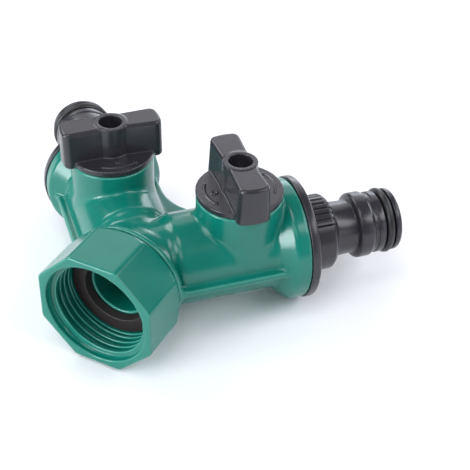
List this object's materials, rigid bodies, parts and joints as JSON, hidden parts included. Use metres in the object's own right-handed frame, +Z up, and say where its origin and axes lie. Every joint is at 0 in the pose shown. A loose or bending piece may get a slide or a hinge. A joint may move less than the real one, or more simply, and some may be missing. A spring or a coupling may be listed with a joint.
{
  "type": "hose splitter",
  "caption": "Y-shaped garden hose splitter with a swivel inlet nut and a shut-off valve on each branch, ending in quick-connect hose outlets.",
  "frame": {"origin": "middle of the footprint, on the surface that the two outlet flanges stand on", "axes": "+Z up, along the valve stems; the inlet mouth faces -Y; +X towards the right-hand outlet seen from the inlet; the plane x=0 parts the left and right halves"},
  "size_m": [0.106, 0.0736, 0.0417],
  "materials": {
    "green_plastic": "semi-gloss moulded ABS, teal green",
    "black_plastic": "satin moulded plastic, charcoal black",
    "black_rubber": "soft black rubber",
    "white_plastic": "natural white low-friction plastic",
    "ball_chrome": "polished plated ball",
    "screw_steel": "plain steel screw"
  },
  "bodies": {
    "housing": {"body": "green_plastic", "nut_retaining_ring": "white_plastic", "left_inlet_seat": "white_plastic", "left_outlet_seat": "white_plastic", "left_outlet_adaptor": "black_plastic", "left_spout_o_ring": "black_rubber", "left_adaptor_o_ring": "black_rubber", "right_inlet_seat": "white_plastic", "right_outlet_seat": "white_plastic", "right_outlet_adaptor": "black_plastic", "right_spout_o_ring": "black_rubber", "right_adaptor_o_ring": "black_rubber"},
    "swivel_nut": {"inlet_nut": "green_plastic", "inlet_washer": "black_rubber"},
    "left_valve": {"left_handle": "black_plastic", "left_handle_screw": "screw_steel", "left_stem": "black_plastic", "left_stem_washer": "white_plastic", "left_stem_o_ring": "black_rubber", "left_ball": "ball_chrome"},
    "right_valve": {"right_handle": "black_plastic", "right_handle_screw": "screw_steel", "right_stem": "black_plastic", "right_stem_washer": "white_plastic", "right_stem_o_ring": "black_rubber", "right_ball": "ball_chrome"}
  },
  "joints": [
    {"name": "inlet_nut_swivel", "type": "hinge", "parent": "housing", "child": "swivel_nut", "pos_m": [0, -0.02962, 0.01566], "axis": [0, 1, 0], "continuous": true},
    {"name": "left_valve_turn", "type": "hinge", "parent": "housing", "child": "left_valve", "pos_m": [-0.01802, 0.00182, 0.01566], "axis": [0, 0, 1], "range_deg": [0, 90]},
    {"name": "right_valve_turn", "type": "hinge", "parent": "housing", "child": "right_valve", "pos_m": [0.01802, 0.00182, 0.01566], "axis": [0, 0, 1], "range_deg": [0, 90]}
  ]
}
